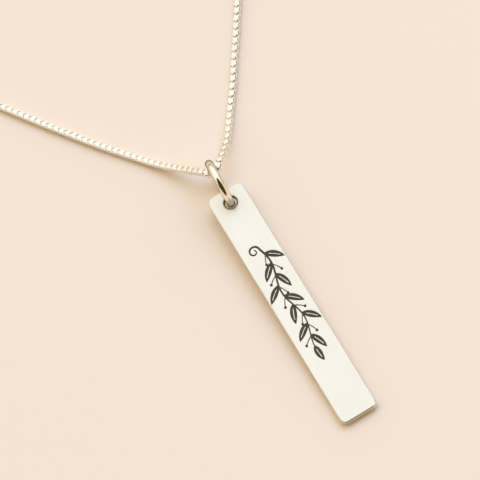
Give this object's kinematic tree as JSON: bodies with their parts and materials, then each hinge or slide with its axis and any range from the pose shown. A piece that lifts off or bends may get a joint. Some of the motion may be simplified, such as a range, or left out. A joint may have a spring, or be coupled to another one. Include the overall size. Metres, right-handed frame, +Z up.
{
  "type": "rectangular tag necklace",
  "caption": "Narrow rectangular metal tag with bevelled edges on a standing jump ring, strung on a fine box chain that lies as a whole closed loop with a plain barrel clasp.",
  "frame": {"origin": "on the table, under the middle of the whole necklace as it lies (bottom centre of its box)", "axes": "+Z up from the table; +Y from the tag through the jump ring to the clasp, so the tag's lower end points to -Y; +X to the right when the tag's engraved face is seen with its lower end towards the viewer"},
  "size_m": [0.118, 0.2114, 0.0066],
  "materials": {
    "tag_silver": "polished silver with fine wipe marks and blackened engraving",
    "ring_silver": "polished silver wire",
    "chain_silver": "polished silver links, dull between them",
    "clasp_silver": "polished silver"
  },
  "bodies": {
    "root": {"tag": "tag_silver", "jump_ring": "ring_silver", "chain": "chain_silver", "clasp": "clasp_silver"}
  },
  "joints": []
}
